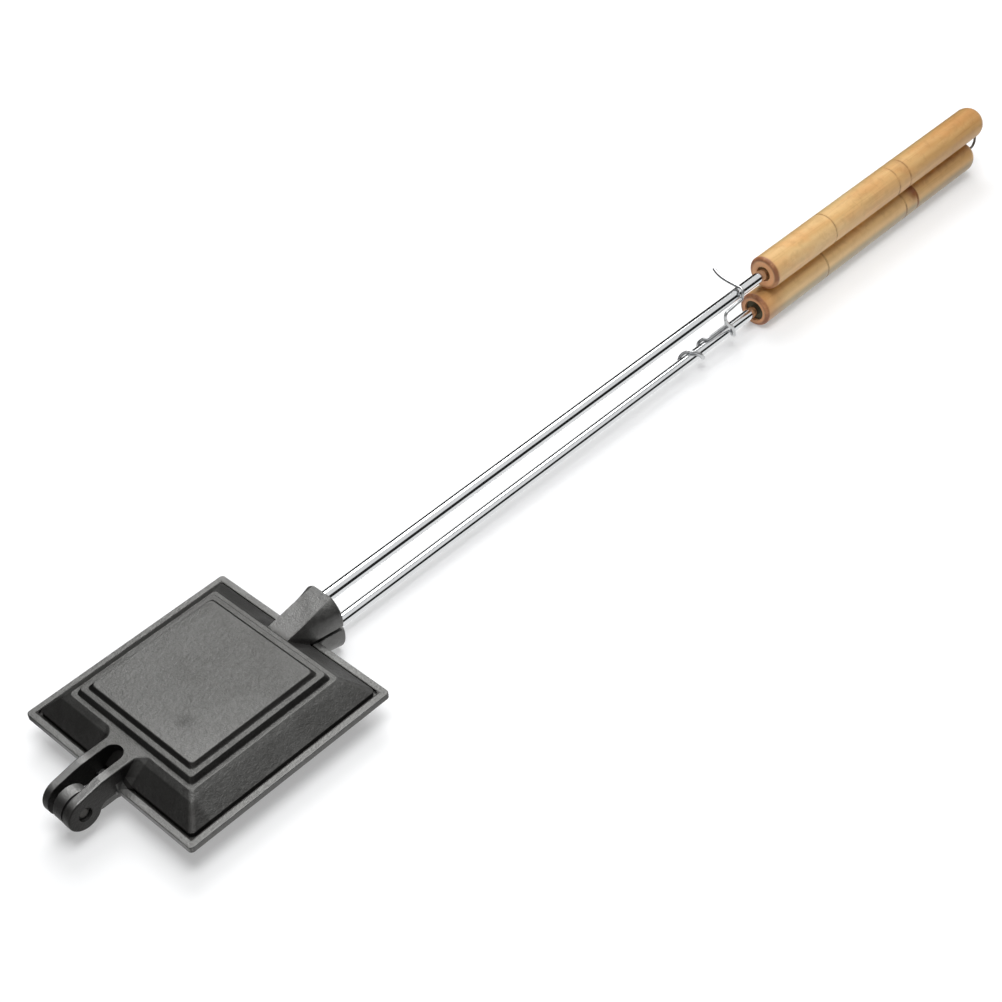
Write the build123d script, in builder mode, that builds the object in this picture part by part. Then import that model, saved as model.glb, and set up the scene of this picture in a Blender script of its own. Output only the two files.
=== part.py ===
from build123d import *
import math
import os

# A long-handled sandwich iron for a camp fire: two square cast pans hinged together at the front.
# Each pan has a socket boss at its back, a steel rod in the boss and a turned wooden handle.
# Sizes are millimetres. The origin is the middle of the lower pan's flat back, +X runs to the
# handles and +Z is up. The pans meet on one level, and heights are counted from it both ways.

# Pans: the lower one has a raised lip, and the upper one's rim sits down inside it.
lip_half = 56.0
lip_height = 3.0
lip_width = 3.4
lip_corner = 2.0
lip_edge_round = 0.5
nest_gap = 1.1
rim_drop = 1.2
rim_rise = 1.2
rim_corner = 2.2
lip_shelf = 3.5
shoulder_half = 41.0
shoulder_height = 10.6
shoulder_ledge = 2.0
middle_step_rise = 3.0
plateau_rise = 2.0
middle_step_draft = 1.4
middle_ledge = 2.4
plateau_draft = 1.8
step_corner = 2.0
step_round = 0.5
rim_wall = 5.0
bread_shoulder_depth = 9.0
bread_shoulder_wall = 2.7
bread_ledge = 2.8
bread_depth = 12.0
bread_floor_draft = 1.3
bread_corner = 2.0

# Socket bosses at the handle end, one half on each pan, and the rods they hold.
upper_boss_lift = 1.6
lower_boss_drop = 0.4
boss_root_x = 41.5
boss_root_half = 7.8
boss_root_height = 10.0
boss_waist_x = 56.8
boss_waist_half = 9.8
boss_waist_height = 12.9
boss_end_x = 69.5
boss_end_half = 12.0
boss_end_height = 15.8
boss_top_half = 6.5
boss_end_top_half = 5.7
boss_barrel_shares = (0.08, 0.26, 0.42)
boss_middle_y = -0.8
boss_round = 0.9
rod_radius = 3.0
rod_offset = 10.0
rod_thread_radius = 2.5
rod_thread_length = 10.0
rod_tip_chamfer = 0.5
rod_in_handle = 110.0
seat_clearance = 0.05

# Hinge at the front: two ears on the upper pan, one tongue on the lower pan, and a rivet.
hinge_x = -73.0
ear_radius = 8.5
ear_outer_half = 9.3
slot_half = 5.0
slot_inner_x = -44.7
arm_flare = 4.6
arm_flare_length = 7.2
arm_flare_inset = 0.9
arm_inner_x = -40.0
arm_brow_x = -62.0
arm_blend_radius = 4.0
ear_under_drop = 1.5
arm_edge_round = 0.9
lip_clearance = 1.2
arm_over_lip = 0.35
tongue_radius = 8.3
tongue_root_x = -51.5
tongue_near_y = -3.8
tongue_far_y = 1.8
tongue_top_drop = 1.0
web_half = 4.4
web_end_x = -66.0
web_wide_half = 7.6
web_wide_x = -62.6
web_top_drop = 2.3
web_thickness = 1.7
rivet_radius = 2.5
rivet_clearance = 0.08
rivet_recess = 1.1
rivet_dome = 0.7
rivet_sink_radius = 3.4
rivet_sink_depth = 1.8

# Turned wooden handles. The upper one stands further out than the lower one.
upper_handle_front_x = 388.0
upper_handle_rear_x = 587.8
lower_handle_front_x = 380.8
rear_stagger = 5.8
lower_handle_rear_x = upper_handle_rear_x - rear_stagger
handle_front_radius = 9.4
handle_rear_radius = 9.2
handle_front_round = 1.7
handle_dome = 8.0
handle_end_flat = 1.0
groove_width = 1.0
groove_depth = 0.35
upper_groove_shares = (0.265, 0.56, 0.613)
lower_groove_shares = (0.271, 0.638, 0.693)
upper_mouth_radius = 4.3
upper_mouth_depth = 3.5
washer_radius = 5.8
washer_thickness = 1.0
lower_mouth_depth = 2.6
mouth_clearance = 0.1
keeper_hole_radius = 2.2
keeper_hole_depth = 3.2

# Wire latch: one wire wrapped twice round the lower rod, with a leg up to hook over the upper rod.
latch_wire_radius = 0.85
latch_wrap_clearance = 0.25
latch_over_rod_clearance = 0.6
latch_tip_x = 369.6
latch_tip_y = 18.6
latch_tip_lift = 0.8
latch_cross_x = 365.8
latch_curl_y = 12.0
latch_side_clearance = 0.4
latch_corner = 2.6
latch_leg_x = 363.3
latch_jog_height = 8.6
latch_jog_end_x = 353.2
latch_jog_end_drop = 0.8
latch_jog_corner = 2.4
first_wrap_front_x = 359.0
first_wrap_under_x = 361.4
first_wrap_back_x = 362.2
first_wrap_shoulder_x = 360.9
first_wrap_top_x = 357.0
second_wrap_start_x = 343.0
second_wrap_shoulder_x = 340.0
second_wrap_back_x = 338.6
second_wrap_under_x = 336.2
second_wrap_front_x = 332.8
second_wrap_top_x = 327.8
second_wrap_last_back_x = 323.4
second_wrap_tail_x = 320.9
wrap_lean_share = 0.22
shoulder_lean_share = 0.62

# Hook at the rear: an eye in the upper handle and a wire hook that swings into the lower handle.
hook_wire_radius = 0.7
eye_ring_radius = 2.4
eye_stand_off = 3.0
eye_x = upper_handle_rear_x + eye_stand_off
eye_below_axis = 5.0
eye_shank_length = 9.0
hook_ring_gap = 0.3
hook_corner = 3.6
hook_prong_depth = 1.6

middle_step_height = shoulder_height + middle_step_rise
pan_depth = middle_step_height + plateau_rise
parting_z = pan_depth
rim_half = lip_half - lip_width - nest_gap
lip_inner_half = lip_half - lip_width
half_turn = 180
quarter_turn = 90
touch = 0.01

os.makedirs("parts", exist_ok=True)


def level(height):
    return Plane.XY.offset(parting_z + height)


def square_at(height, half, corner):
    with BuildSketch(level(height), mode=Mode.PRIVATE) as outline:
        RectangleRounded(2 * half, 2 * half, corner)
    return outline.sketch


def side_plane(height):
    return Plane(origin=(0, 0, parting_z + height), x_dir=(1, 0, 0), z_dir=(0, -1, 0))


def end_plane(x, middle_y=0):
    return Plane(origin=(x, middle_y, parting_z), x_dir=(0, 1, 0), z_dir=(1, 0, 0))


def back_of_pan(side, start_height, start_half):
    # The stepped outside of a pan from its rim to its flat back; side is 1 for upper, -1 for lower.
    step_half = shoulder_half - shoulder_ledge
    middle_half = step_half - middle_step_draft - middle_ledge
    with BuildPart() as body:
        loft([square_at(side * start_height, start_half, rim_corner),
              square_at(side * shoulder_height, shoulder_half, step_corner)], ruled=True)
        loft([square_at(side * shoulder_height, step_half, step_corner),
              square_at(side * middle_step_height, step_half - middle_step_draft, step_corner)], ruled=True)
        loft([square_at(side * middle_step_height, middle_half, step_corner),
              square_at(side * pan_depth, middle_half - plateau_draft, step_corner)], ruled=True)
        outer = []
        for height in (shoulder_height, middle_step_height, pan_depth):
            on_level = body.edges().filter_by_position(Axis.Z, parting_z + side * height - step_round / 10,
                                                       parting_z + side * height + step_round / 10)
            reach = max(edge.bounding_box().max.X for edge in on_level)
            for edge in on_level:
                box = edge.bounding_box()
                if max(box.max.X, -box.min.X, box.max.Y, -box.min.Y) > reach - step_round:
                    outer.append(edge)
        fillet(outer, step_round)
    return body.part


def bread_space(side):
    # The hollow inside a pan, which holds half of the bread.
    rim_level = -rim_drop
    opening_half = rim_half - rim_wall
    low_half = shoulder_half - bread_shoulder_wall
    with BuildPart() as hollow:
        loft([square_at(rim_level if side > 0 else -rim_drop, opening_half, bread_corner),
              square_at(side * bread_shoulder_depth, low_half, bread_corner)], ruled=True)
        loft([square_at(side * bread_shoulder_depth, low_half - bread_ledge, bread_corner),
              square_at(side * bread_depth, low_half - bread_ledge - bread_floor_draft, bread_corner)], ruled=True)
    return hollow.part


def boss_section(x, base_half, top_half, height, base_height, side, barrel_share):
    side_height = (base_height + height) / 2
    side_half = (base_half + top_half) / 2 + barrel_share * (base_half - top_half + boss_round)
    with BuildSketch(end_plane(x, boss_middle_y), mode=Mode.PRIVATE) as section:
        with BuildLine():
            Line((-base_half, side * base_height), (base_half, side * base_height))
            ThreePointArc((base_half, side * base_height), (side_half, side * side_height), (top_half, side * height))
            Line((top_half, side * height), (-top_half, side * height))
            ThreePointArc((-top_half, side * height), (-side_half, side * side_height), (-base_half, side * base_height))
        make_face()
    return section.sketch


def boss(side, base_height):
    # Half of the socket: flat on top, barrel-shaped flanks that flare to the end the rod enters.
    with BuildPart() as body:
        loft([boss_section(boss_root_x, boss_root_half, boss_top_half, boss_root_height, base_height, side,
                           boss_barrel_shares[0]),
              boss_section(boss_waist_x, boss_waist_half, boss_top_half, boss_waist_height, base_height, side,
                           boss_barrel_shares[1]),
              boss_section(boss_end_x, boss_end_half, boss_end_top_half, boss_end_height, base_height, side,
                           boss_barrel_shares[2])])
        end_face = body.faces().sort_by(Axis.X)[-1]
        outer_ring = [edge for edge in end_face.edges()
                      if abs(edge.center().Z - parting_z) > base_height + boss_round]
        fillet(outer_ring, boss_round)
    return body.part


def flare_plan(height, pan_side_x):
    # The outline on one level of the flare that carries the arm into the pan's slope.
    flare_half = ear_outer_half + arm_flare
    neck_x = pan_side_x - arm_flare_length
    neck_half = ear_outer_half - arm_flare_inset
    with BuildSketch(level(height), mode=Mode.PRIVATE) as plan:
        with BuildLine():
            Line((neck_x, -neck_half), (neck_x, neck_half))
            TangentArc((neck_x, neck_half), (pan_side_x, flare_half), tangent=(1, 0))
            Polyline((pan_side_x, flare_half), (0, flare_half), (0, -flare_half), (pan_side_x, -flare_half))
            TangentArc((neck_x, -neck_half), (pan_side_x, -flare_half), tangent=(1, 0))
        make_face()
    return plan.sketch


def brow_touch(side):
    # Where a straight line from the arm's brow meets the knuckle circle without a corner.
    reach = math.hypot(arm_brow_x - hinge_x, shoulder_height)
    lean = math.atan2(shoulder_height, arm_brow_x - hinge_x) + math.acos(ear_radius / reach)
    return (hinge_x + ear_radius * math.cos(lean), side * ear_radius * math.sin(lean))


# Upper hinge arm: the ears and the arm that joins them to the upper pan.
lip_edge_x = -lip_half - lip_clearance
with BuildPart() as upper_arm:
    with BuildSketch(side_plane(0)) as ear_side:
        with Locations((hinge_x, 0)):
            Circle(ear_radius)
        with BuildLine():
            Polyline((arm_inner_x, shoulder_height), (arm_brow_x, shoulder_height), brow_touch(1), (hinge_x, 0),
                     (hinge_x, -ear_under_drop), (lip_edge_x, -ear_under_drop), (lip_edge_x, arm_over_lip),
                     (arm_inner_x, arm_over_lip), (arm_inner_x, shoulder_height))
        make_face()
        under_corner = ear_side.vertices().sort_by_distance(
            Vector(hinge_x + math.sqrt(ear_radius ** 2 - ear_under_drop ** 2), 0, parting_z - ear_under_drop))[0]
        fillet(under_corner, arm_blend_radius)
    extrude(amount=ear_outer_half, both=True)
    flat_edges = [edge for edge in upper_arm.edges() if edge.bounding_box().size.Y < touch]
    fillet([edge for edge in flat_edges if edge.bounding_box().max.X < lip_edge_x + touch
            or edge.bounding_box().min.Z > parting_z + shoulder_height - touch], arm_edge_round)
    with BuildPart() as flare:
        loft([flare_plan(arm_over_lip, -rim_half - arm_over_lip), flare_plan(shoulder_height, -shoulder_half)], ruled=True)
        fillet([edge for edge in flare.edges().filter_by(GeomType.CIRCLE)
                if edge.bounding_box().min.Z > parting_z + shoulder_height - touch], arm_edge_round)
    slot_length = slot_inner_x - hinge_x + 2 * ear_radius
    with BuildSketch(Plane.XY) as slot:
        with Locations((slot_inner_x - slot_half - slot_length / 2, 0)):
            Rectangle(slot_length, 2 * slot_half)
        with Locations((slot_inner_x - slot_half, 0)):
            Circle(slot_half)
    extrude(amount=2 * pan_depth, mode=Mode.SUBTRACT)
    with BuildSketch(side_plane(0)):
        with Locations((hinge_x, 0)):
            Circle(rivet_radius + seat_clearance)
    extrude(amount=2 * ear_outer_half, both=True, mode=Mode.SUBTRACT)
    for face_y in (-ear_outer_half, ear_outer_half):
        with BuildSketch(Plane(origin=(0, face_y, parting_z), x_dir=(1, 0, 0), z_dir=(0, -1, 0))):
            with Locations((hinge_x, 0)):
                Circle(rivet_sink_radius)
        extrude(amount=rivet_sink_depth, both=True, mode=Mode.SUBTRACT)

with BuildPart() as upper_pan:
    add(back_of_pan(1, rim_rise, rim_half))
    extrude(square_at(-rim_drop, rim_half, rim_corner), amount=rim_drop + rim_rise)
    add(boss(1, upper_boss_lift))
    add(upper_arm.part)
    add(bread_space(1), mode=Mode.SUBTRACT)
    with BuildSketch(end_plane(boss_end_x)):
        with Locations((0, rod_offset)):
            Circle(rod_thread_radius + seat_clearance)
    extrude(amount=-rod_thread_length - rod_tip_chamfer, mode=Mode.SUBTRACT)
upper_pan.part.label = "upper_pan"

# Lower hinge arm: one narrow tongue between the ears, on a thin web that runs under the lip.
with BuildPart() as lower_arm:
    with BuildSketch(Plane(origin=(0, tongue_far_y, parting_z), x_dir=(1, 0, 0), z_dir=(0, -1, 0))) as tongue_side:
        with Locations((hinge_x, 0)):
            Circle(tongue_radius)
        with BuildLine():
            Polyline((hinge_x, -tongue_top_drop), (hinge_x, -tongue_radius), (arm_brow_x, -shoulder_height),
                     (arm_inner_x, -shoulder_height), (tongue_root_x, -tongue_top_drop - rim_drop),
                     (-lip_half + lip_width / 2, -tongue_top_drop), close=True)
        make_face()
    extrude(amount=tongue_far_y - tongue_near_y)
    for end_x, half in ((web_end_x, web_half), (web_wide_x, web_wide_half)):
        with BuildSketch(side_plane(0)):
            with BuildLine():
                Polyline((arm_inner_x, -shoulder_height), (tongue_root_x, -web_top_drop), (end_x, -web_top_drop),
                         (end_x, -web_top_drop - web_thickness), (lip_edge_x, -web_top_drop - 2 * web_thickness), close=True)
            make_face()
        extrude(amount=half, both=True)
    with BuildSketch(side_plane(0)):
        with Locations((hinge_x, 0)):
            Circle(rivet_radius + rivet_clearance)
    extrude(amount=ear_outer_half, both=True, mode=Mode.SUBTRACT)

with BuildPart() as lower_pan:
    extrude(square_at(-lip_height, lip_half, lip_corner), amount=lip_height)
    lip_edges = lower_pan.edges().filter_by_position(Axis.Z, parting_z - lip_edge_round / 2, parting_z + lip_edge_round / 2)
    fillet(lip_edges, lip_edge_round)
    add(back_of_pan(-1, lip_height, lip_half - lip_shelf))
    add(boss(-1, lower_boss_drop))
    add(lower_arm.part)
    extrude(square_at(-rim_drop, lip_inner_half, rim_corner), amount=rim_drop, mode=Mode.SUBTRACT)
    add(bread_space(-1), mode=Mode.SUBTRACT)
    with BuildSketch(end_plane(boss_end_x)):
        with Locations((0, -rod_offset)):
            Circle(rod_thread_radius + seat_clearance)
    extrude(amount=-rod_thread_length - rod_tip_chamfer, mode=Mode.SUBTRACT)
lower_pan.part.label = "lower_pan"

# Rivet through the ears and the tongue, a little short of the ears' outer faces.
with BuildPart() as hinge_pin:
    with BuildSketch(side_plane(0)):
        with Locations((hinge_x, 0)):
            Circle(rivet_radius)
    extrude(amount=ear_outer_half - rivet_recess, both=True)
    fillet(hinge_pin.edges().filter_by(GeomType.CIRCLE), rivet_dome)
hinge_pin.part.label = "hinge_pin"


def rod(side, handle_front_x):
    # A straight rod whose reduced end screws into the boss and whose other end sits in the handle.
    with BuildPart() as bar:
        with BuildSketch(end_plane(boss_end_x)):
            with Locations((0, side * rod_offset)):
                Circle(rod_radius)
        extrude(amount=handle_front_x + rod_in_handle - boss_end_x)
        with BuildSketch(end_plane(boss_end_x)):
            with Locations((0, side * rod_offset)):
                Circle(rod_thread_radius)
        extrude(amount=-rod_thread_length)
        chamfer(bar.edges().sort_by(Axis.X)[0], rod_tip_chamfer)
        chamfer(bar.edges().sort_by(Axis.X)[-1], rod_tip_chamfer)
    return bar.part


upper_rod = rod(1, upper_handle_front_x)
upper_rod.label = "upper_rod"
lower_rod = rod(-1, lower_handle_front_x)
lower_rod.label = "lower_rod"


def handle(side, front_x, rear_x, groove_shares, mouth_radius, mouth_depth):
    # A turned grip: rounded front edge, slight taper, burnt lines, domed rear end, bored for the rod.
    length = rear_x - front_x
    grip_axis = Axis((0, 0, parting_z + side * rod_offset), (1, 0, 0))
    with BuildPart() as grip:
        with BuildSketch(side_plane(side * rod_offset)):
            with BuildLine():
                Polyline((rear_x, handle_end_flat), (rear_x, 0), (front_x, 0),
                         (front_x, handle_front_radius - handle_front_round))
                RadiusArc((front_x, handle_front_radius - handle_front_round),
                          (front_x + handle_front_round, handle_front_radius), handle_front_round)
                Line((front_x + handle_front_round, handle_front_radius), (rear_x - handle_dome, handle_rear_radius))
                EllipticalCenterArc((rear_x - handle_dome, handle_end_flat), handle_dome,
                                    handle_rear_radius - handle_end_flat, arc_size=quarter_turn)
            make_face()
        revolve(axis=grip_axis)
        for share in groove_shares:
            groove_x = front_x + share * length
            radius_here = handle_front_radius + (handle_rear_radius - handle_front_radius) * share
            with BuildSketch(side_plane(side * rod_offset)):
                with BuildLine():
                    Polyline((groove_x - groove_width / 2, radius_here + groove_depth),
                             (groove_x, radius_here - groove_depth),
                             (groove_x + groove_width / 2, radius_here + groove_depth), close=True)
                make_face()
            revolve(axis=grip_axis, mode=Mode.SUBTRACT)
        with BuildSketch(end_plane(front_x)):
            with Locations((0, side * rod_offset)):
                Circle(rod_radius + seat_clearance)
        extrude(amount=rod_in_handle + rod_tip_chamfer, mode=Mode.SUBTRACT)
        with BuildSketch(end_plane(front_x)):
            with Locations((0, side * rod_offset)):
                Circle(mouth_radius)
        extrude(amount=mouth_depth, mode=Mode.SUBTRACT)
        if side < 0:
            with BuildSketch(end_plane(rear_x)):
                with Locations((0, side * rod_offset)):
                    Circle(keeper_hole_radius)
            extrude(amount=-keeper_hole_depth, mode=Mode.SUBTRACT)
        else:
            with BuildSketch(end_plane(rear_x)):
                with Locations((0, side * rod_offset - eye_below_axis)):
                    Circle(hook_wire_radius + seat_clearance)
            extrude(amount=-eye_shank_length, mode=Mode.SUBTRACT)
    return grip.part


upper_handle = handle(1, upper_handle_front_x, upper_handle_rear_x, upper_groove_shares,
                      upper_mouth_radius, upper_mouth_depth)
upper_handle.label = "upper_handle"
lower_handle = handle(-1, lower_handle_front_x, lower_handle_rear_x, lower_groove_shares,
                      washer_radius + mouth_clearance, lower_mouth_depth)
lower_handle.label = "lower_handle"

# Washer at the bottom of the lower handle's mouth, round the rod.
with BuildPart() as lower_washer:
    with BuildSketch(end_plane(lower_handle_front_x + lower_mouth_depth)):
        with Locations((0, -rod_offset)):
            Circle(washer_radius)
            Circle(rod_radius + seat_clearance, mode=Mode.SUBTRACT)
    extrude(amount=-washer_thickness)
lower_washer.part.label = "lower_washer"

# Wire latch: points on the path with the direction the wire runs there, joined by pairs of arcs.
wrap_radius = rod_radius + latch_wrap_clearance + latch_wire_radius
cross_height = rod_offset + rod_radius + latch_over_rod_clearance + latch_wire_radius
leg_y = -rod_radius - latch_side_clearance - latch_wire_radius


def above(x, y, height):
    return Vector(x, y, parting_z + height)


def on_wrap(x, angle):
    turn = math.radians(angle)
    return above(x, wrap_radius * math.cos(turn), -rod_offset + wrap_radius * math.sin(turn))


def wrap_way(angle, sense, lean):
    turn = math.radians(angle)
    return Vector(lean, -sense * math.sin(turn), sense * math.cos(turn)).normalized()


def arc_middle(start, way, end):
    # The middle of the arc that leaves start in the direction way and ends at end.
    chord = end - start
    along = chord.normalized()
    aside = way - along * way.dot(along)
    lean = math.acos(max(-1, min(1, way.dot(along))))
    return (start + end) * 0.5 + aside.normalized() * (chord.length / 2 * math.tan(lean / 2))


straight_limit = 0.00001


def arc_or_line(start, way, end):
    along = (end - start).normalized()
    if (way - along).length < straight_limit:
        return [Edge.make_line(start, end)]
    return [Edge.make_three_point_arc(start, arc_middle(start, way, end), end)]


def joined(start, start_way, end, end_way):
    # Two arcs from start to end that keep both directions and share one direction where they meet.
    gap = end - start
    ways = start_way + end_way
    if (start_way - gap.normalized()).length < straight_limit and (end_way - start_way).length < straight_limit:
        return [Edge.make_line(start, end)]
    bend = 1 - start_way.dot(end_way)
    if bend < straight_limit:
        reach = gap.dot(gap) / (4 * gap.dot(start_way))
    else:
        reach = (math.sqrt(gap.dot(ways) ** 2 + 2 * bend * gap.dot(gap)) - gap.dot(ways)) / (2 * bend)
    meeting = (start + start_way * reach + end - end_way * reach) * 0.5
    first = arc_or_line(start, start_way, meeting)
    last_middle = arc_middle(end, end_way * -1, meeting)
    along = (end - meeting).normalized()
    if (end_way - along).length < straight_limit:
        return first + [Edge.make_line(meeting, end)]
    return first + [Edge.make_three_point_arc(meeting, last_middle, end)]


toward_minus_y = Vector(0, -1, 0)
down = Vector(0, 0, -1)
toward_pan = Vector(-1, 0, 0)
path_points = [
    (above(latch_tip_x, latch_tip_y, cross_height + latch_tip_lift),
     Vector(latch_cross_x - latch_tip_x, -(latch_tip_y - latch_curl_y), -latch_tip_lift).normalized()),
    (above(latch_cross_x, 0, cross_height), toward_minus_y),
    (above(latch_cross_x, leg_y + latch_corner, cross_height), toward_minus_y),
    (above(latch_cross_x - latch_corner / 4, leg_y, cross_height - latch_corner), down),
    (above(latch_leg_x, leg_y, latch_jog_height), toward_pan),
    (above(latch_jog_end_x, leg_y, latch_jog_height - latch_jog_end_drop), toward_pan),
    (above(latch_jog_end_x - latch_jog_corner, leg_y, latch_jog_height - latch_jog_end_drop - latch_jog_corner), down),
    (on_wrap(first_wrap_front_x, half_turn), wrap_way(half_turn, 1, wrap_lean_share)),
    (on_wrap(first_wrap_under_x, 3 * quarter_turn), wrap_way(3 * quarter_turn, 1, wrap_lean_share)),
    (on_wrap(first_wrap_back_x, 4 * quarter_turn), wrap_way(4 * quarter_turn, 1, 0)),
    (on_wrap(first_wrap_shoulder_x, 4.5 * quarter_turn), wrap_way(4.5 * quarter_turn, 1, -shoulder_lean_share)),
    (on_wrap(first_wrap_top_x, 5 * quarter_turn), toward_pan),
    (on_wrap(second_wrap_start_x, quarter_turn), toward_pan),
    (on_wrap(second_wrap_shoulder_x, quarter_turn / 2), wrap_way(quarter_turn / 2, -1, -shoulder_lean_share)),
    (on_wrap(second_wrap_back_x, 0), wrap_way(0, -1, -wrap_lean_share)),
    (on_wrap(second_wrap_under_x, -quarter_turn), wrap_way(-quarter_turn, -1, -2 * wrap_lean_share)),
    (on_wrap(second_wrap_front_x, -half_turn), wrap_way(-half_turn, -1, -3 * wrap_lean_share)),
    (on_wrap(second_wrap_top_x, -3 * quarter_turn), wrap_way(-3 * quarter_turn, -1, -3 * wrap_lean_share)),
    (on_wrap(second_wrap_last_back_x, -4 * quarter_turn), wrap_way(-4 * quarter_turn, -1, -2 * wrap_lean_share)),
    (on_wrap(second_wrap_tail_x, -5 * quarter_turn), wrap_way(-5 * quarter_turn, -1, -2 * wrap_lean_share)),
]
path_edges = []
for (start, start_way), (end, end_way) in zip(path_points[:-1], path_points[1:]):
    path_edges += joined(start, start_way, end, end_way)
latch_path = Wire(path_edges)

with BuildPart() as wire_latch:
    with BuildSketch(Plane(origin=path_points[0][0], z_dir=path_points[0][1])) as wire_section:
        Circle(latch_wire_radius)
    sweep(path=latch_path)
wire_latch.part.label = "wire_latch"

# Least gap of the wire to itself, measured on points along its path, and its tightest bend.
samples = []
run = 0
for edge in path_edges:
    count = max(6, int(edge.length / latch_wire_radius * 4))
    for step in range(count):
        samples.append((run + edge.length * step / count, edge.position_at(step / count)))
    run += edge.length
least_gap = min((a[1] - b[1]).length - 2 * latch_wire_radius for i, a in enumerate(samples)
                for b in samples[i + 1:] if b[0] - a[0] > 4 * math.pi * latch_wire_radius)
tightest = min(edge.radius for edge in path_edges if edge.geom_type == GeomType.CIRCLE)
print("wire latch: length", round(run, 1), "least gap to itself", round(least_gap, 2), "tightest bend", round(tightest, 2))

# Eye in the upper handle's rear end, and the hook that hangs from it and enters the lower handle.
eye_height = rod_offset - eye_below_axis
with BuildPart() as hook_eye:
    with Locations(Location(above(eye_x, 0, eye_height), (quarter_turn, 0, 0))):
        Torus(eye_ring_radius, hook_wire_radius)
    with BuildSketch(end_plane(eye_x - eye_ring_radius)):
        with Locations((0, eye_height)):
            Circle(hook_wire_radius)
    extrude(amount=-eye_shank_length + hook_wire_radius)
hook_eye.part.label = "hook_eye"

hook_ring_height = eye_height - eye_ring_radius + 2 * hook_wire_radius + hook_ring_gap - eye_ring_radius
hook_low = -rod_offset
prong_tip_x = lower_handle_rear_x - hook_prong_depth
with BuildPart() as closing_hook:
    with Locations(Location(above(eye_x, 0, hook_ring_height), (0, quarter_turn, 0))):
        Torus(eye_ring_radius, hook_wire_radius)
    with BuildLine() as hook_path:
        Line(above(eye_x, 0, hook_ring_height - eye_ring_radius), above(eye_x, 0, hook_low + hook_corner))
        TangentArc(above(eye_x, 0, hook_low + hook_corner), above(eye_x - hook_corner, 0, hook_low), tangent=down)
        Line(above(eye_x - hook_corner, 0, hook_low), above(prong_tip_x, 0, hook_low))
    with BuildSketch(Plane(origin=above(eye_x, 0, hook_ring_height - eye_ring_radius), z_dir=(0, 0, -1))):
        Circle(hook_wire_radius)
    sweep(path=hook_path.wire())
closing_hook.part.label = "closing_hook"

export_step(upper_pan.part, "parts/upper_pan.step")
export_step(lower_pan.part, "parts/lower_pan.step")
export_step(hinge_pin.part, "parts/hinge_pin.step")
export_step(upper_rod, "parts/upper_rod.step")
export_step(lower_rod, "parts/lower_rod.step")
export_step(upper_handle, "parts/upper_handle.step")
export_step(lower_handle, "parts/lower_handle.step")
export_step(lower_washer.part, "parts/lower_washer.step")
export_step(wire_latch.part, "parts/wire_latch.step")
export_step(hook_eye.part, "parts/hook_eye.step")
export_step(closing_hook.part, "parts/closing_hook.step")
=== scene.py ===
import bpy
import math
from mathutils import Matrix, Vector

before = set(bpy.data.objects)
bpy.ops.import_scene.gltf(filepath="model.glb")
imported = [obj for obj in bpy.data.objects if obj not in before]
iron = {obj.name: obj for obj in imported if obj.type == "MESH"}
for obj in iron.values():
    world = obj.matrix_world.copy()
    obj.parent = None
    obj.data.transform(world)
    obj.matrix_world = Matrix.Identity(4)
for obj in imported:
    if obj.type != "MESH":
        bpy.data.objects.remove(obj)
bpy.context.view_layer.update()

# ---------------------------------------------------------------- cast pans
# Two sand-cast iron pans that meet face to face, the upper one's rim inside the lower one's lip.
# They keep the foundry's dark pebbled skin. The lip and the tops of the socket bosses are made
# paler, and painted shade darkens the slopes, the steps between them and the bosses' feet.
MM = 0.001
PARTING_HEIGHT = 0.0156          # where the pans meet, above the lower pan's flat back
LIP_HALF = 0.0560                # half the width over the lip
SHOULDER_HALF = 0.0410           # half the width of the shoulder, where the slopes end
SHOULDER_LEVEL = 0.0106          # levels of the stepped back, counted from the parting
MIDDLE_LEVEL = 0.0136
BACK_LEVEL = 0.0156
BOSS_ROOT_X = 0.0415             # where the socket boss grows out of the back
BOSS_ROOT_FALL = 0.66            # how steeply the slope beside the boss falls
HINGE_X = -0.0730
IRON_SKIN = (0.125, 0.125, 0.121)
IRON_DARK = (0.080, 0.079, 0.076)
# the next colour darkens the iron both for soot and for painted shade
IRON_SOOT_AND_SHADE = (0.020, 0.019, 0.018)
# the next colour makes parts of the iron paler; on the tongue's crest it is a painted highlight
IRON_PALE = (0.33, 0.33, 0.325)


class Signal:
    """One socket of a node tree, so that its maths is written as plain sums."""

    def __init__(self, nodes, socket):
        self.nodes, self.socket = nodes, socket

    def maths(self, operation, *values):
        return self.nodes.add("ShaderNodeMath", {"operation": operation}, dict(enumerate(values)))

    def __add__(self, other): return self.maths("ADD", self, other)
    def __radd__(self, other): return self.maths("ADD", other, self)
    def __sub__(self, other): return self.maths("SUBTRACT", self, other)
    def __rsub__(self, other): return self.maths("SUBTRACT", other, self)
    def __mul__(self, other): return self.maths("MULTIPLY", self, other)
    def __rmul__(self, other): return self.maths("MULTIPLY", other, self)
    def __pow__(self, other): return self.maths("POWER", self, other)
    def size(self): return self.maths("ABSOLUTE", self)
    def lower_of(self, other): return self.maths("MINIMUM", self, other)
    def higher_of(self, other): return self.maths("MAXIMUM", self, other)

    def ramp(self, start, end, low=0.0, high=1.0):
        """Goes smoothly from low at start to high at end."""
        return self.nodes.add("ShaderNodeMapRange", {"interpolation_type": "SMOOTHSTEP"},
                              {"Value": self, "From Min": start, "From Max": end,
                               "To Min": low, "To Max": high})

    def between(self, start, full_from, full_to, end):
        """1 from full_from to full_to, fading to 0 at start and at end."""
        return self.ramp(start, full_from) * self.ramp(end, full_to)


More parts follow.
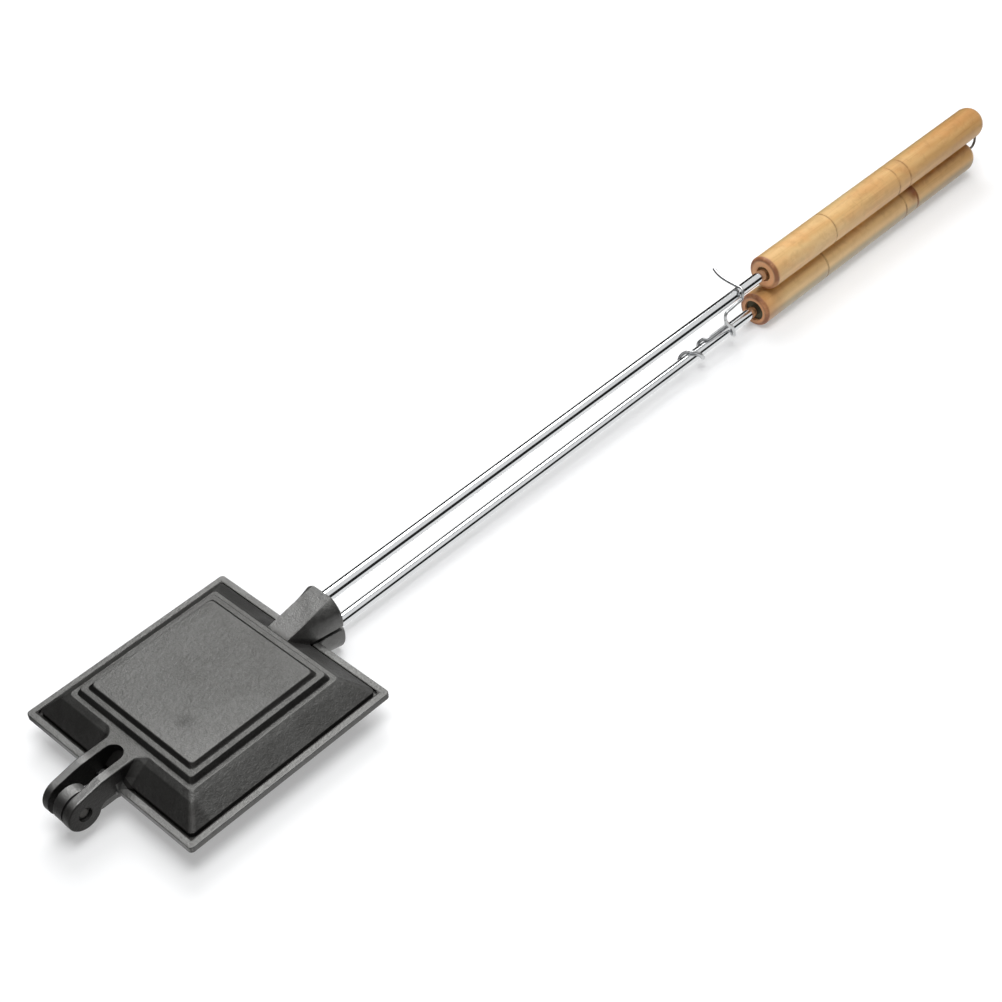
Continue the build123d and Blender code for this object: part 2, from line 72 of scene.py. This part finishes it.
class Nodes:
    """A node tree, and the one way in which a node is added to it."""

    def __init__(self, tree):
        self.tree = tree

    def join(self, socket, value):
        if isinstance(value, Signal):
            self.tree.links.new(value.socket, socket)
        elif socket.type == "RGBA":
            socket.default_value = (*value, 1.0)
        else:
            socket.default_value = value

    def add(self, kind, settings, sockets, output=0):
        node = self.tree.nodes.new(kind)
        for name, value in settings.items():
            setattr(node, name, value)
        for name, value in sockets.items():
            self.join(node.inputs[name], value)
        return Signal(self, node.outputs[output])

    def axes(self, vector):
        split = self.add("ShaderNodeSeparateXYZ", {}, {"Vector": vector})
        return [Signal(self, axis) for axis in split.socket.node.outputs]

    def seen_by(self, ray):
        return self.add("ShaderNodeLightPath", {}, {}, ray)


class Finish(Nodes):
    """A piece's material: its shader, and the patterns that its marks are made of."""

    def __init__(self, name, plain):
        self.material = bpy.data.materials.new(name)
        self.material.use_nodes = True
        super().__init__(self.material.node_tree)
        self.shader = self.tree.nodes["Principled BSDF"]
        self.set(plain)
        self.place = self.add("ShaderNodeTexCoord", {}, {}, "Object")

    def set(self, values):
        for name, value in values.items():
            self.join(self.shader.inputs[name], value)

    def stretched(self, shift=(0, 0, 0), scale=(1, 1, 1), turn=(0, 0, 0)):
        return self.add("ShaderNodeMapping", {}, {"Vector": self.place, "Location": shift,
                                                  "Rotation": turn, "Scale": scale})

    def noise(self, scale, detail=4.0, roughness=0.55, distortion=0.0, place=None):
        return self.add("ShaderNodeTexNoise", {},
                        {"Vector": place or self.place, "Scale": scale, "Detail": detail,
                         "Roughness": roughness, "Distortion": distortion}, "Fac")

    def blend(self, share, first, second, how="MIX"):
        return self.add("ShaderNodeMix", {"data_type": "RGBA", "blend_type": how},
                        {0: share, 6: first, 7: second}, 2)

    def relief(self, height, strength, distance):
        return self.add("ShaderNodeBump", {}, {"Height": height, "Strength": strength,
                                               "Distance": distance})


def dress(node, finish):
    """Gives a piece carried over from the CAD model its finish."""
    node.data.materials.clear()
    node.data.materials.append(finish.material)


class CastSkin(Finish):
    """Pebbled iron, with the measures by which its paler parts and its painted shade are placed."""

    def __init__(self, name):
        super().__init__(name, {"Metallic": 0.80})
        self.grit = self.noise(1300, 3.0, 0.6)
        self.lumps = self.noise(420, 4.0, 0.6)
        self.clouds = self.noise(55, 5.0, 0.6, 0.6)
        self.along, self.aside, self.height = self.axes(self.place)
        self.width = self.aside.size()
        self.across = self.along.size().higher_of(self.width)
        self.above = (self.height - PARTING_HEIGHT).size()
        tone = (self.clouds * 0.4 + self.lumps * 0.3 + self.grit * 0.3).ramp(0.34, 0.66)
        self.colour = self.blend(tone, IRON_DARK, IRON_SKIN)
        self.lighten_lip_and_boss()

    def lighten(self, share):
        self.colour = self.blend(share, self.colour, IRON_PALE)

    # darkens the iron, for soot and for painted shade
    def soot_and_shade(self, share):
        self.colour = self.blend(share, self.colour, IRON_SOOT_AND_SHADE)

    def lighten_lip_and_boss(self):
        on_lip = self.across.ramp(LIP_HALF + 0.8 * MM, LIP_HALF + 0.4 * MM)
        side = (on_lip * self.across.ramp(LIP_HALF - 0.6 * MM, LIP_HALF - 0.1 * MM)
                * self.above.ramp(4.5 * MM, 3.5 * MM))
        front = side * self.along.ramp(-LIP_HALF + 2.0 * MM, -LIP_HALF + 0.5 * MM)
        self.lip_top = (on_lip * self.across.ramp(LIP_HALF - 4.6 * MM, LIP_HALF - 3.6 * MM)
                        * self.above.ramp(0.8 * MM, 0.3 * MM))
        boss_top = (self.along.ramp(BOSS_ROOT_X, BOSS_ROOT_X + 2.5 * MM)
                    * self.width.ramp(7.8 * MM, 6.2 * MM) * self.above.ramp(9.8 * MM, 10.4 * MM))
        self.lighten((side * 0.14 + front * 0.17 + self.lip_top * 0.12 + boss_top * 0.30).lower_of(1.0))

    # painted shade: the slopes darker, the front slopes darker still, and a dark line at their foot
    def slope_shade(self):
        slope = self.across.between(SHOULDER_HALF + 2.2 * MM, SHOULDER_HALF + 3.0 * MM,
                                    LIP_HALF - 3.2 * MM, LIP_HALF - 2.8 * MM)
        slope = slope * self.above.ramp(SHOULDER_LEVEL - 0.6 * MM, SHOULDER_LEVEL - 1.2 * MM)
        front = slope * self.along.ramp(-SHOULDER_HALF + 1.0 * MM, -SHOULDER_HALF - 2.0 * MM)
        foot = (slope * self.across.ramp(LIP_HALF - 4.7 * MM, LIP_HALF - 4.2 * MM)
                * self.above.ramp(4.2 * MM, 3.6 * MM))
        return slope * 0.21 + front * 0.42 + foot * 0.65

    # painted shade on the risers between the levels of the stepped back
    def step_shade(self):
        first = self.above.between(SHOULDER_LEVEL - 0.1 * MM, SHOULDER_LEVEL + 0.7 * MM,
                                   MIDDLE_LEVEL - 0.5 * MM, MIDDLE_LEVEL + 0.1 * MM)
        second = self.above.between(MIDDLE_LEVEL - 0.1 * MM, MIDDLE_LEVEL + 0.6 * MM,
                                    BACK_LEVEL - 0.5 * MM, BACK_LEVEL + 0.1 * MM)
        inside = self.across.ramp(SHOULDER_HALF - 1.0 * MM, SHOULDER_HALF - 1.7 * MM)
        return (first + second * 1.3) * inside * 0.75

    # painted shadow at the foot of the socket boss, where it meets the slope
    def boss_foot_shadow(self):
        slope_level = SHOULDER_LEVEL - (self.along - SHOULDER_HALF) * BOSS_ROOT_FALL
        foot = ((self.above - slope_level).size().ramp(2.4 * MM, 0.6 * MM)
                * self.along.ramp(BOSS_ROOT_X - 1.0 * MM, BOSS_ROOT_X + 0.5 * MM))
        return foot * self.width.between(7.0 * MM, 8.5 * MM, 12.0 * MM, 15.0 * MM) * 0.7

    def add_stains_shade_and_relief(self, hinge_tip_shade):
        """Stains, painted shade on the steps, slopes, boss feet and hinge tips, and the relief that
        the sand left.
        """
        stains = self.noise(26, 3.0, 0.5, 1.2)
        pits = self.add("ShaderNodeTexVoronoi", {"feature": "F1"},
                        {"Vector": self.place, "Scale": 700.0}, "Distance")
        self.colour = self.blend(stains.ramp(0.60, 0.78) * 0.35, self.colour, IRON_DARK)
        # painted shade: the hinge's front tips are darkened
        hinge_tip = self.along.ramp(HINGE_X - 1.5 * MM, HINGE_X - 5.5 * MM)
        self.soot_and_shade(self.step_shade().higher_of(self.slope_shade()).higher_of(self.boss_foot_shadow())
                  .higher_of(hinge_tip * hinge_tip_shade))
        pebbles = (self.grit * 0.55 + self.lumps * 0.75
                   - pits.ramp(0.0, 0.25, 1.0, 0.0) * 0.15 * stains)
        self.set({"Base Color": self.colour,
                  "Roughness": 0.44 + self.clouds * 0.12 - self.lip_top * 0.06,
                  "Normal": self.relief(pebbles, 0.85, 0.36 * MM)})


# ---------------------------------------------------------------- upper pan
# The casting whose back shows, with a slotted arm and two hinge ears at the front and half a
# socket boss at the handle end. The arm's top and the boss are made paler, painted light makes the
# flat back paler towards two corners and darker towards the third, soot and painted shade darken
# the ears' sides, painted shade the slot, and the flat back has a small smudge.
ARM_BROW_X = -0.0620             # where the arm's top starts to fall towards the rivet
ARM_FALL = 0.176                 # how steeply it falls there
EAR_OUTER_HALF = 0.0093
SLOT_HALF, SLOT_INNER_X = 0.0050, -0.0447
SMUDGE_X, SMUDGE_Y = -0.0205, -0.0135

upper = CastSkin("cast_iron_upper")
along, aside, width, above = upper.along, upper.aside, upper.width, upper.above
brow = ((above - (along - ARM_BROW_X) * ARM_FALL).ramp(9.4 * MM, 10.2 * MM)
        * along.ramp(-45.5 * MM, -48.0 * MM))
past_lip = along.ramp(-LIP_HALF - 0.2 * MM, -LIP_HALF - 0.8 * MM).higher_of(
    along.ramp(-47.0 * MM, -51.0 * MM) * above.ramp(3.6 * MM, 4.4 * MM))
# soot and painted shade on the ears' sides and the arm's flanks beside the pan
ear_side = past_lip * width.between(EAR_OUTER_HALF - 0.5 * MM, EAR_OUTER_HALF - 0.1 * MM,
                                    14.0 * MM, 15.5 * MM)
# painted shade inside the slot
slot = (width.ramp(SLOT_HALF + 0.4 * MM, SLOT_HALF)
        * along.ramp(SLOT_INNER_X + 1.2 * MM, SLOT_INNER_X + 0.2 * MM)
        * above.ramp(SHOULDER_LEVEL - 0.2 * MM, SHOULDER_LEVEL - 0.8 * MM))
boss_flank = (along.ramp(50.0 * MM, 56.0 * MM) * width.ramp(6.0 * MM, 8.5 * MM)
              * above.ramp(SHOULDER_LEVEL - 0.1 * MM, SHOULDER_LEVEL - 2.1 * MM))
flat_back = above.ramp(BACK_LEVEL - 0.4 * MM, BACK_LEVEL - 0.1 * MM)
# painted light: the flat back is paler towards its near and left corners and darker towards its
# right one
near_corner = (-1.0 * along - aside).ramp(5.0 * MM, 72.0 * MM) * flat_back
left_corner = (aside - along).ramp(0.0, 55.0 * MM) * flat_back
right_corner = (along - aside).ramp(5.0 * MM, 60.0 * MM) * flat_back
from_smudge = ((along - SMUDGE_X) ** 2 + (aside - SMUDGE_Y) ** 2) ** 0.5 + upper.lumps * (3.0 * MM)
upper.lighten(brow * 0.45 + near_corner * 0.16 + left_corner * 0.08 + boss_flank * 0.30)
upper.soot_and_shade((ear_side * 0.80).higher_of(slot * 0.85).higher_of(right_corner * 0.10))
upper.soot_and_shade(from_smudge.ramp(7.0 * MM, 2.5 * MM) * flat_back * 0.35)
upper.add_stains_shade_and_relief(hinge_tip_shade=0.55)
dress(iron["upper_pan"], upper)

# ---------------------------------------------------------------- lower pan
# The casting the iron stands on, with a raised lip all round, the hinge tongue at the front and
# the other half of the socket boss. The tongue's crest carries a painted highlight, and the
# boss's barrel is made paler.
TONGUE_HALF = 0.0044

lower = CastSkin("cast_iron_lower")
# painted highlight on the tongue's crest
tongue_crest_highlight = (lower.width.ramp(TONGUE_HALF + 0.2 * MM, TONGUE_HALF - 0.2 * MM)
                * lower.along.ramp(-58.0 * MM, -64.0 * MM)
                * lower.height.ramp(PARTING_HEIGHT + 2.0 * MM, PARTING_HEIGHT + 5.0 * MM))
barrel = lower.along.ramp(LIP_HALF + 0.3 * MM, LIP_HALF + 1.5 * MM)
lower.lighten(tongue_crest_highlight * 0.45 + barrel * 0.26)
lower.add_stains_shade_and_relief(hinge_tip_shade=0.78)
dress(iron["lower_pan"], lower)

# ---------------------------------------------------------------- hinge rivet
# A plain drawn-steel rivet through both ears and the tongue, on which the upper pan turns. Its
# ends were domed over in shallow sinks in the ears' faces, and the fire has darkened it.
RIVET_DARK, RIVET_GREY = (0.035, 0.033, 0.031), (0.11, 0.107, 0.10)

rivet_steel = Finish("rivet_steel", {"Metallic": 0.8})
rivet_marks = rivet_steel.noise(900, 3.0)
rivet_steel.set({"Base Color": rivet_steel.blend(rivet_marks, RIVET_DARK, RIVET_GREY),
                 "Roughness": 0.42 + rivet_marks * 0.2,
                 "Normal": rivet_steel.relief(rivet_marks, 0.3, 0.1 * MM)})
dress(iron["hinge_pin"], rivet_steel)

# ---------------------------------------------------------------- rods
# Two straight 6 mm steel rods, bright zinc plated and a little streaked along their length from
# the drawing. Each goes into its pan's socket boss by a reduced end, and deep into its grip.
PLATING_GREY, PLATING_BRIGHT = (0.64, 0.65, 0.66), (0.80, 0.81, 0.82)

plating = Finish("bright_plating", {"Metallic": 1.0})
drawn_lines = plating.noise(1.0, 3.0, 0.5, 0.0, plating.stretched(scale=(14, 2600, 2600)))
plating_clouds = plating.noise(90, 4.0, 0.55)
plating.set({"Base Color": plating.blend(plating_clouds * 0.5 + drawn_lines * 0.3,
                                         PLATING_GREY, PLATING_BRIGHT),
             "Roughness": 0.07 + plating_clouds * 0.06,
             "Normal": plating.relief(drawn_lines, 0.06, 0.04 * MM)})
dress(iron["upper_rod"], plating)
dress(iron["lower_rod"], plating)

# ---------------------------------------------------------------- grips
# Two grips turned from pale hardwood and lacquered clear, honey-coloured, one on each rod. Three
# thin lines were burnt into each on the lathe, with a scorch beside the lower one's last, and
# the rims of the bored mouths are browned.
WOOD_PALE = (0.76, 0.51, 0.23)
WOOD_HONEY = (0.645, 0.375, 0.13)
WOOD_WARM = (0.73, 0.385, 0.14)
WOOD_DEEP = (0.42, 0.20, 0.055)
# the next colour is painted light, paler wood that lifts the lower grip out of the upper grip's
# shade
WOOD_PAINTED_PALE = (0.88, 0.61, 0.265)
# the next colour is painted light, for the grips below their tops
WOOD_PAINTED_BELLY_LIGHT = (0.89, 0.64, 0.36)
END_GRAIN = (0.84, 0.38, 0.18)
# the next colour is a stain that also carries painted shade, for the mouths
MOUTH_STAIN_AND_SHADE = (0.50, 0.20, 0.055)
RIM_BROWN = (0.22, 0.075, 0.035)
BURNT = (0.27, 0.125, 0.05)
SCORCHED = (0.27, 0.085, 0.022)
# the first two tints are painted shade, underneath and on the far side; the third darkens the wood
# towards its rear end
UNDER_SHADE_TINT = (0.56, 0.66, 0.82)      # tints that multiply the wood's own colour
FAR_SIDE_SHADE_TINT = (0.78, 0.86, 0.97)
REAR_TINT = (0.77, 0.67, 0.53)


def turned_wood(name, middle, front, rear, line_shares, plank, mouth_stain_and_shade, painted_paleness, scorching):
    """One grip's wood. plank picks where in the board it was cut, so that no two are alike."""
    wood = Finish(name, {"Coat Roughness": 0.22, "Specular IOR Level": 0.3})
    along, aside, height = wood.axes(wood.place)
    lift = height - middle

    shifted = wood.stretched(shift=(plank, plank * 0.37, -middle + plank * 0.11))
    fibre = wood.noise(1.0, 5.0, 0.6, 0.2,
                       wood.stretched(shift=(plank, 0, 0), scale=(22, 900, 900)))
    figure = wood.noise(1.0, 4.0, 0.55, 0.8,
                        wood.stretched(shift=(plank, 0, plank), scale=(9, 95, 95)))
    warmth = wood.noise(1.0, 3.0, 0.6, 0.8,
                        wood.stretched(shift=(plank * 2, plank, 0), scale=(24, 60, 60)))
    clouds = wood.noise(26, 3.0, 0.5, 0.4, shifted)
    mottle = wood.noise(230, 3.0, 0.6, 0.5, shifted)
    uneven = wood.noise(160, 3.0, 0.6, 0.0, shifted)
    rings = wood.add("ShaderNodeTexWave", {"wave_type": "BANDS", "bands_direction": "Z"},
                     {"Vector": wood.stretched(shift=(0, plank, 0), scale=(1.5, 50, 70),
                                               turn=(0.5, 0.02, 0)),
                      "Scale": 1.0, "Distortion": 5.0, "Detail": 3.0, "Detail Scale": 1.2}, "Fac")

    # the grain, from the broad figure down to the finest fibre
    colour = wood.blend(figure.ramp(0.25, 0.75), WOOD_HONEY, WOOD_PALE)
    colour = wood.blend(warmth.ramp(0.42, 0.64) * 0.60, colour, WOOD_WARM)
    # painted light: the lower grip is made paler, as it lies in the upper grip's shade
    colour = wood.blend(painted_paleness, colour, WOOD_PAINTED_PALE)
    colour = wood.blend(rings * 0.35 * clouds.ramp(0.3, 0.7), colour, WOOD_DEEP)
    colour = wood.blend(fibre.ramp(0.52, 0.75) * 0.34, colour, WOOD_DEEP)
    colour = wood.blend(mottle.ramp(0.48, 0.66) * 0.20, colour, WOOD_DEEP)

    # painted light and shade round its girth: paler below its top, tinted blue underneath on the
    # lower grip and darker on the far side; it is also darker towards its rear end
    painted_belly_light = lift.ramp(8.5 * MM, 3.5 * MM) * (0.25 + painted_paleness * 0.6)
    colour = wood.blend(painted_belly_light, colour, WOOD_PAINTED_BELLY_LIGHT)
    # painted shade, bluish, underneath the lower grip
    underside_shade = lift.ramp(3.0 * MM, -1.0 * MM, 0.0, 2.0 * painted_paleness)
    colour = wood.blend(underside_shade, colour, UNDER_SHADE_TINT, "MULTIPLY")
    # painted shade on the far side
    colour = wood.blend(aside.ramp(-1.0 * MM, 6.0 * MM), colour, FAR_SIDE_SHADE_TINT, "MULTIPLY")
    toward_rear = along.ramp(front + 50 * MM, rear + 12 * MM)
    colour = wood.blend(toward_rear, colour, REAR_TINT, "MULTIPLY")

    # the mouth, stained and partly darkened with painted shade, the end grain and the browned rim
    near_mouth = along.ramp(front + 20 * MM, front + 2 * MM)
    colour = wood.blend(near_mouth * mouth_stain_and_shade, colour, MOUTH_STAIN_AND_SHADE)
    ends = along.ramp(front + 3.2 * MM, front + 0.6 * MM).higher_of(
        along.ramp(rear - 5.0 * MM, rear - 0.5 * MM) * 0.5)
    colour = wood.blend(ends * 0.65, colour, END_GRAIN)
    radius = (aside ** 2 + lift ** 2) ** 0.5
    rim = radius.ramp(6.6 * MM, 8.2 * MM) * along.ramp(front + 2.8 * MM, front + 1.2 * MM)
    colour = wood.blend(rim * uneven.ramp(0.30, 0.60, 0.45, 0.85), colour, RIM_BROWN)

    # the burnt lines, and the scorch beside the last of them
    lines = [front + share * (rear - front) for share in line_shares]
    marks = [(along - line).size().ramp(1.1 * MM, 0.3 * MM) for line in lines]
    burnt = marks[0].higher_of(marks[1]).higher_of(marks[2])
    burnt = burnt * uneven.ramp(0.32, 0.60, 0.0, 0.70) * lift.ramp(8.5 * MM, -0.5 * MM, 0.55, 1.15)
    last = lines[-1]
    patch = (along.between(last - 10.0 * MM, last - 1.0 * MM, last + 0.2 * MM, last + 1.0 * MM)
             * lift.ramp(0.5 * MM, 6.5 * MM))
    edge = (along - last).size().ramp(1.5 * MM, 0.5 * MM) * lift.ramp(-6.0 * MM, 3.0 * MM)
    scorch = patch.higher_of(edge) * uneven.ramp(0.28, 0.50, 0.4, 1.0) * scorching
    colour = wood.blend(scorch, colour, SCORCHED)
    colour = wood.blend(burnt, colour, BURNT)

    wood.set({"Base Color": colour,
              "Roughness": 0.38 + fibre * 0.14,
              "Coat Weight": 0.22 - ends * 0.15,
              "Normal": wood.relief(fibre * 0.6 + figure * 0.25, 0.20, 0.25 * MM)})
    return wood


dress(iron["upper_handle"], turned_wood(
    "upper_grip_wood", middle=PARTING_HEIGHT + 10 * MM, front=0.3880, rear=0.5878,
    line_shares=(0.265, 0.56, 0.613), plank=0.31, mouth_stain_and_shade=0.10, painted_paleness=0.0, scorching=0.12))
dress(iron["lower_handle"], turned_wood(
    "lower_grip_wood", middle=PARTING_HEIGHT - 10 * MM, front=0.3808, rear=0.5820,
    line_shares=(0.271, 0.638, 0.693), plank=1.73, mouth_stain_and_shade=0.55, painted_paleness=0.5, scorching=0.95))

# ---------------------------------------------------------------- washer
# A flat ring stamped from steel, oiled and gone dark. It lies loose round the lower rod, on the
# floor of the lower grip's wide mouth, where it shows as a dark ring.
WASHER_DARK, WASHER_OILED = (0.05, 0.045, 0.025), (0.13, 0.12, 0.075)

washer_steel = Finish("washer_steel", {"Metallic": 0.7})
washer_marks = washer_steel.noise(700, 3.0)
washer_steel.set({"Base Color": washer_steel.blend(washer_marks, WASHER_DARK, WASHER_OILED),
                  "Roughness": 0.5 + washer_marks * 0.2})
dress(iron["lower_washer"], washer_steel)

# ---------------------------------------------------------------- wire latch
# One length of 1.7 mm spring wire, plated but duller than the rods. It is wound twice round the
# lower rod, where it turns, runs along it as a leg and hooks over the upper rod.
WIRE_GREY, WIRE_BRIGHT = (0.36, 0.365, 0.37), (0.70, 0.71, 0.72)

wire_plating = Finish("bright_wire", {"Metallic": 1.0})
wire_clouds = wire_plating.noise(240, 4.0, 0.55)
wire_plating.set({"Base Color": wire_plating.blend(wire_clouds, WIRE_GREY, WIRE_BRIGHT),
                  "Roughness": 0.22 + wire_clouds * 0.14})
dress(iron["wire_latch"], wire_plating)

# ---------------------------------------------------------------- closing hook
# Two bends of thin dark wire at the rear end: an eye pushed into the upper grip, and a hook that
# hangs in it and swings into a hole in the lower grip, to hold the grips together.
DARK_WIRE, WORN_WIRE = (0.07, 0.06, 0.05), (0.20, 0.175, 0.15)

dark_wire = Finish("dark_wire", {"Metallic": 0.85})
dark_wire_marks = dark_wire.noise(500, 3.0)
dark_wire.set({"Base Color": dark_wire.blend(dark_wire_marks, DARK_WIRE, WORN_WIRE),
               "Roughness": 0.38 + dark_wire_marks * 0.2})
dress(iron["hook_eye"], dark_wire)
dress(iron["closing_hook"], dark_wire)

# ---------------------------------------------------------------- table
# White paper on a level that the iron rests on by the front edge of the lower pan's flat back and
# by the lower grip, so that it falls a little towards the grips. It is plain white further out;
# beside the iron most of it is lit, and keeps the iron's shadow.
REST_FRONT_X, REST_GRIP_X = -0.0334, 0.3825
GRIP_DROP = 0.0038               # how far the lower grip hangs below the pan's flat back
TABLE_GAP = 0.0001
TABLE_SPAN = 30.0
PAPER_WHITE = (0.962, 0.969, 0.978)
PAPER_GLOW = 0.34                # the share of plain white in the paper beside the iron
IRON_MIDDLE_X = 0.25
WHITE_FROM, WHITE_BY = 0.55, 1.15    # how far from there it turns plain white

bpy.ops.mesh.primitive_plane_add(size=TABLE_SPAN)
table = bpy.context.active_object
table.name = "table"
fall = Matrix.Rotation(math.atan2(GRIP_DROP, REST_GRIP_X - REST_FRONT_X), 4, "Y")
table.data.transform(Matrix.Translation((REST_FRONT_X, 0, -TABLE_GAP)) @ fall)

paper = Finish("table_paper", {"Roughness": 0.9, "Specular IOR Level": 0.1,
                               "Base Color": PAPER_WHITE})
along, aside = paper.axes(paper.place)[:2]
seen_plainly, seen_in_metal = paper.seen_by("Is Camera Ray"), paper.seen_by("Is Glossy Ray")
beside_iron = (aside.between(-120 * MM, -65 * MM, 40 * MM, 75 * MM)
               * along.ramp(-150 * MM, -60 * MM, 0.35, 1.0))
from_iron = ((along - IRON_MIDDLE_X) ** 2 + aside ** 2) ** 0.5
white = paper.add("ShaderNodeEmission", {}, {"Color": (1, 1, 1), "Strength": 1.0})
reflected = paper.add("ShaderNodeMixShader", {}, {0: seen_plainly.higher_of(beside_iron), 2: white})
outward = from_iron.ramp(WHITE_FROM, WHITE_BY, PAPER_GLOW, 1.0)
whiteness = (seen_plainly * outward).higher_of(seen_in_metal)
surface = paper.add("ShaderNodeMixShader", {}, {0: whiteness, 2: reflected,
                                                1: Signal(paper, paper.shader.outputs[0])})
paper.join(paper.tree.nodes["Material Output"].inputs["Surface"], surface)
table.data.materials.append(paper.material)

# ---------------------------------------------------------------- studio light
# A white room that lights the iron most from the grips' side. It is dark on the left, where the
# pans' front slopes look, and low down, but the camera sees it plain white. Two broad soft lamps
# hang in it, one behind the iron and one almost straight above.
ROOM_DARK = 0.03                 # how bright the room is on the left and low down
ROOM_BRIGHT = 0.90
DARK_TO, BRIGHT_FROM = -0.60, 0.30   # where it is so, as the share of a look that runs to +X
FAR_LEFT, FAR_LEFT_BRIGHT = -0.68, 0.80  # the end wall on the left, which the rods show
BACK_RISE, FRONT_RISE = 0.95, 0.56   # how steeply the edge of the dark climbs each way
ROOM_SHARE = 0.46                # the share of the room's light that falls on unpolished faces
LAMP_AIM = Vector((0.20, 0.0, 0.0))

world = bpy.data.worlds.new("studio")
bpy.context.scene.world = world
world.use_nodes = True
room = Nodes(world.node_tree)
to_grips, to_back, upward = room.axes(room.add("ShaderNodeTexCoord", {}, {}, "Generated"))
rising = to_grips.ramp(DARK_TO, BRIGHT_FROM, ROOM_DARK, ROOM_BRIGHT)
far_left = to_grips.ramp(DARK_TO, FAR_LEFT, 0.0, FAR_LEFT_BRIGHT)
over_dark = (upward - to_back * BACK_RISE).lower_of(upward + to_back * FRONT_RISE)
glow = rising.higher_of(far_left) * over_dark.ramp(0.03, 0.10, ROOM_DARK, 1.0)
room_light = glow * room.seen_by("Is Glossy Ray").ramp(0.0, 1.0, ROOM_SHARE, 1.0)
walls = world.node_tree.nodes["Background"]
room.join(walls.inputs["Color"], (1, 1, 1))
room.join(walls.inputs["Strength"], room_light.higher_of(room.seen_by("Is Camera Ray")))


def soft_lamp(name, from_way, reach, width, power):
    lamp = bpy.data.lights.new(name, "AREA")
    lamp.shape, lamp.size, lamp.energy = "DISK", width, power
    holder = bpy.data.objects.new(name, lamp)
    bpy.context.scene.collection.objects.link(holder)
    holder.location = LAMP_AIM + Vector(from_way).normalized() * reach
    holder.rotation_euler = Vector(from_way).to_track_quat("Z", "Y").to_euler()


soft_lamp("soft_key", (0.45, 0.52, 0.84), reach=1.8, width=1.05, power=16.5)
soft_lamp("overhead", (-0.06, -0.12, 1.0), reach=1.75, width=1.1, power=21)

# ---------------------------------------------------------------- camera
# The photograph's viewpoint, from beyond the hinge and high above the table, so that the iron
# runs away to the upper right. The camera is tipped a few degrees.
LENS, SENSOR = 69.297, 36.0
AZIMUTH, ELEVATION, ROLL = math.radians(-43.49), math.radians(42.113), math.radians(-4.429)
LOOK_AT = Vector((0.175657, -0.008402, PARTING_HEIGHT))
DISTANCE = 0.918771

back = Vector((math.sin(AZIMUTH) * math.cos(ELEVATION),
               -math.cos(AZIMUTH) * math.cos(ELEVATION), math.sin(ELEVATION)))
level_right = Vector((math.cos(AZIMUTH), math.sin(AZIMUTH), 0))
level_up = back.cross(level_right)
right = math.cos(ROLL) * level_right + math.sin(ROLL) * level_up
up = math.cos(ROLL) * level_up - math.sin(ROLL) * level_right
camera_data = bpy.data.cameras.new("camera")
camera_data.lens, camera_data.sensor_width = LENS, SENSOR
camera = bpy.data.objects.new("camera", camera_data)
bpy.context.scene.collection.objects.link(camera)
facing = Matrix((right, up, back)).transposed().to_4x4()
camera.matrix_world = Matrix.Translation(LOOK_AT + back * DISTANCE) @ facing
bpy.context.scene.camera = camera
bpy.context.scene.view_settings.view_transform = "Standard"
